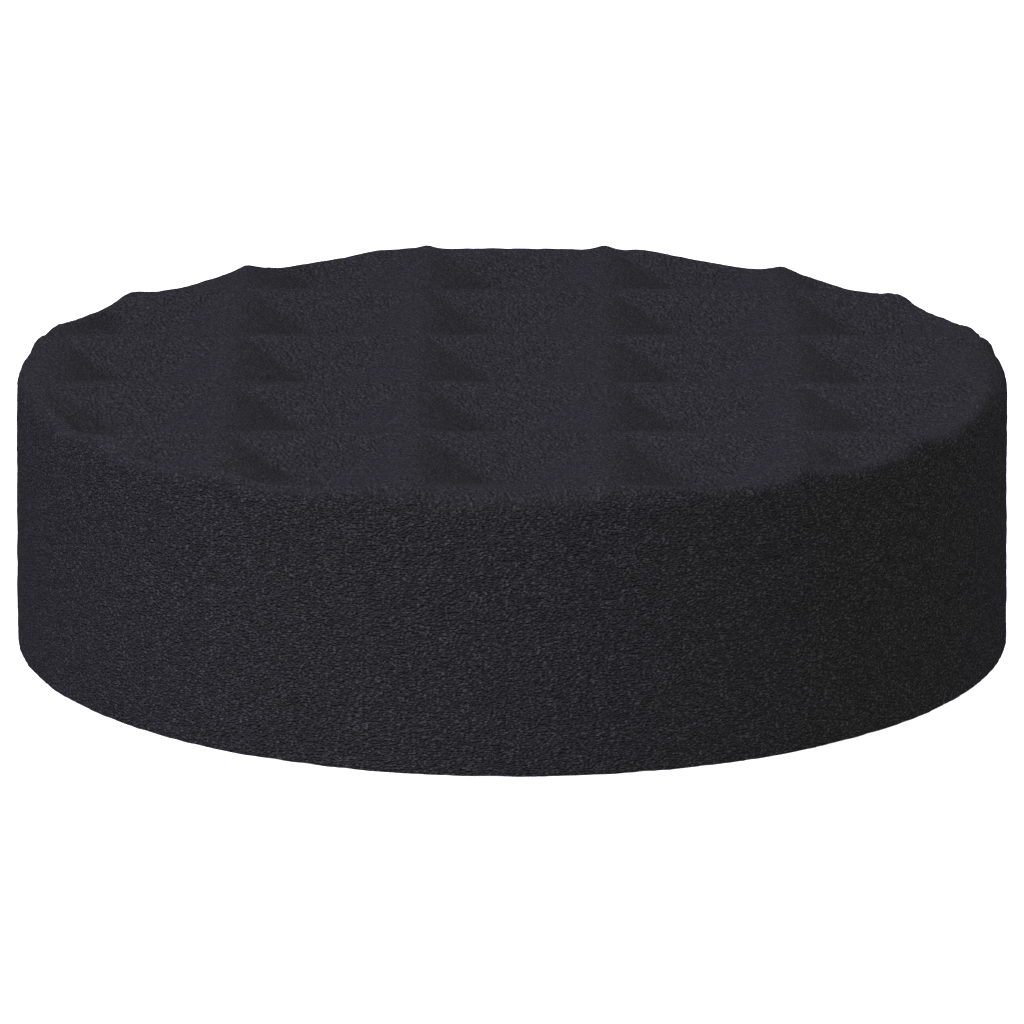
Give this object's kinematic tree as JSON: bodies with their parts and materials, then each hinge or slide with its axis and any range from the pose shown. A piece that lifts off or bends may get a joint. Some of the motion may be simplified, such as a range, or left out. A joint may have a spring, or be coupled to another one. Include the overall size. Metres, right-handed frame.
{
  "type": "polishing pad",
  "caption": "Thick round foam polishing pad with a waffle face, glued to a ribbed plastic plate that screws onto a polisher's threaded spindle.",
  "frame": {"origin": "centre of the foam's flat back face, on the spindle axis", "axes": "+Z along the spindle axis, from the back towards the waffle face; X and Y along the two directions of the waffle ridges"},
  "size_m": [0.178, 0.178, 0.0508],
  "materials": {
    "pad_foam": "black open-cell polyurethane foam, matt and grainy",
    "glue": "amber contact adhesive, semi-gloss",
    "plate_plastic": "black moulded plastic with a fine texture",
    "insert_steel": "zinc-plated turned steel"
  },
  "bodies": {
    "root": {"foam_pad": "pad_foam", "glue_film": "glue", "backing_plate": "plate_plastic", "thread_insert": "insert_steel"}
  },
  "joints": []
}
